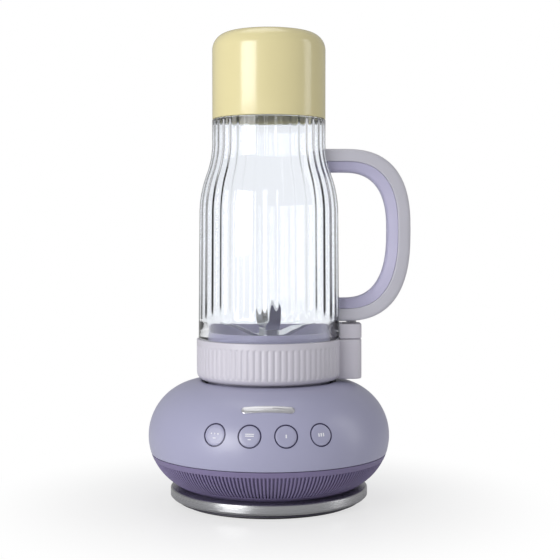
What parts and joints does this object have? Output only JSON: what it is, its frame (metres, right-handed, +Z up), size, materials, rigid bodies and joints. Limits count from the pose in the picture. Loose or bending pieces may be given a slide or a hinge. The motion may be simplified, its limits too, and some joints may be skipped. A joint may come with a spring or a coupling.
{
  "type": "countertop blender",
  "caption": "Countertop blender: an inverted clear tumbler with handle and boot, screwed to a bladed grip ring that twist-locks into a round motor base.",
  "frame": {"origin": "centre of the rubber foot ring on the table, on the drive axis", "axes": "+Z up along the drive shaft; the handle points along +X; the buttons and badge face -Y; the cord gland faces +Y"},
  "size_m": [0.1694, 0.1609, 0.3028],
  "materials": {
    "housing": "smooth satin-gloss lavender",
    "skirt": "matte dark violet, slatted",
    "disc": "turned, brushed round its edge",
    "dark_plastic": "moulded",
    "rubber": "matt",
    "steel": "plain",
    "badge": "polished, blank",
    "outline": "dark indigo",
    "board": "circuit board with solder mask",
    "parts": "moulded electrical parts",
    "frame": "die cast",
    "core": "laminated steel",
    "copper": "enamelled copper wire",
    "carbon": "pressed carbon",
    "fan": "white nylon",
    "ring": "light grey-lavender, fluted",
    "deck": "satin lavender",
    "seal": "translucent silicone",
    "blade": "ground edges",
    "cup": "clear co-polyester",
    "shell": "light grey-lavender",
    "grip": "soft lavender",
    "boot": "glossy pale yellow"
  },
  "bodies": {
    "motor_base": {"upper_housing": "housing", "vent_skirt": "skirt", "base_disc": "disc", "bottom_cover": "dark_plastic", "foot_ring": "rubber", "cover_screws": "steel", "housing_screws": "steel", "well_liner": "dark_plastic", "liner_screws": "steel", "seat_ring": "rubber", "front_badge": "badge", "button_bezels": "outline", "control_board": "board", "tact_switches": "parts", "power_board": "board", "power_components": "parts", "interlock_switch": "parts", "cord_gland": "rubber", "fan_shroud": "dark_plastic", "motor_upper_frame": "frame", "motor_lower_frame": "frame", "stator_core": "core", "stator_coils": "copper", "brush_holders": "parts", "carbon_brushes": "carbon", "motor_bearings": "steel", "motor_screws": "steel", "motor_isolators": "rubber"},
    "motor_rotor": {"motor_shaft": "steel", "rotor_core": "core", "rotor_windings": "copper", "commutator": "copper", "cooling_fan": "fan", "drive_coupler": "rubber"},
    "extract_key": {"extract_button": "housing"},
    "smoothie_key": {"smoothie_button": "housing"},
    "low_key": {"low_button": "housing"},
    "high_key": {"high_button": "housing"},
    "interlock_plunger": {"interlock_pin": "fan"},
    "shaft_bearings": {"blade_bearings": "steel"},
    "blade_base": {"grip_ring": "ring", "blade_deck": "deck", "shaft_seal": "seal"},
    "blade_rotor": {"blade_shaft": "steel", "lower_blade": "blade", "upper_blade": "blade", "blade_spacer": "steel", "blade_nut": "steel", "blade_coupling": "dark_plastic"},
    "gasket": {"mouth_gasket": "seal"},
    "tumbler": {"tumbler_cup": "cup", "handle_shell": "shell", "handle_grip": "grip", "handle_screws": "steel", "slider_spring": "steel"},
    "slider": {"lock_slider": "ring"},
    "boot": {"foot_boot": "boot"}
  },
  "joints": [
    {"name": "motor_spin", "type": "hinge", "parent": "motor_base", "child": "motor_rotor", "pos_m": [0, 0, 0.04], "axis": [0, 0, 1], "continuous": true},
    {"name": "extract_press", "type": "slide", "parent": "motor_base", "child": "extract_key", "axis": [0.3962, 0.8684, -0.2983], "range_m": [0, 0.001], "stiffness_N_per_m": 400, "springref_m": -0.0005},
    {"name": "smoothie_press", "type": "slide", "parent": "motor_base", "child": "smoothie_key", "axis": [0.1357, 0.9448, -0.2983], "range_m": [0, 0.001], "stiffness_N_per_m": 400, "springref_m": -0.0005},
    {"name": "low_press", "type": "slide", "parent": "motor_base", "child": "low_key", "axis": [-0.1357, 0.9448, -0.2983], "range_m": [0, 0.001], "stiffness_N_per_m": 400, "springref_m": -0.0005},
    {"name": "high_press", "type": "slide", "parent": "motor_base", "child": "high_key", "axis": [-0.3962, 0.8684, -0.2983], "range_m": [0, 0.001], "stiffness_N_per_m": 400, "springref_m": -0.0005},
    {"name": "interlock_press", "type": "slide", "parent": "motor_base", "child": "interlock_plunger", "axis": [0, 0, 1], "range_m": [-0.002, 0]},
    {"name": "tumbler_lift", "type": "slide", "parent": "motor_base", "child": "shaft_bearings", "axis": [0, 0, 1], "range_m": [0, 0.1]},
    {"name": "lock_twist", "type": "hinge", "parent": "shaft_bearings", "child": "blade_base", "pos_m": [0, 0, 0.08], "axis": [0, 0, 1], "range_deg": [-30, 0]},
    {"name": "blade_spin", "type": "hinge", "parent": "shaft_bearings", "child": "blade_rotor", "pos_m": [0, 0, 0.09], "axis": [0, 0, 1], "continuous": true},
    {"name": "unscrew", "type": "hinge", "parent": "blade_base", "child": "gasket", "pos_m": [0, 0, 0.09], "axis": [0, 0, 1], "range_deg": [0, 300]},
    {"name": "unscrew_rise", "type": "slide", "parent": "gasket", "child": "tumbler", "axis": [0, 0, 1], "range_m": [0, 0.0101]},
    {"name": "slider_raise", "type": "slide", "parent": "tumbler", "child": "slider", "axis": [0, 0, 1], "range_m": [0, 0.0016], "stiffness_N_per_m": 300, "springref_m": -0.001, "deforming": ["slider_spring"]},
    {"name": "boot_pull", "type": "slide", "parent": "tumbler", "child": "boot", "axis": [0, 0, 1], "range_m": [0, 0.06]}
  ],
  "couplings": [
    {"joint": "blade_spin", "follows": "motor_spin", "ratio": 1},
    {"joint": "interlock_press", "follows": "lock_twist", "m_per_rad": 0.0038197},
    {"joint": "unscrew_rise", "follows": "unscrew", "m_per_rad": 0.0019099}
  ]
}
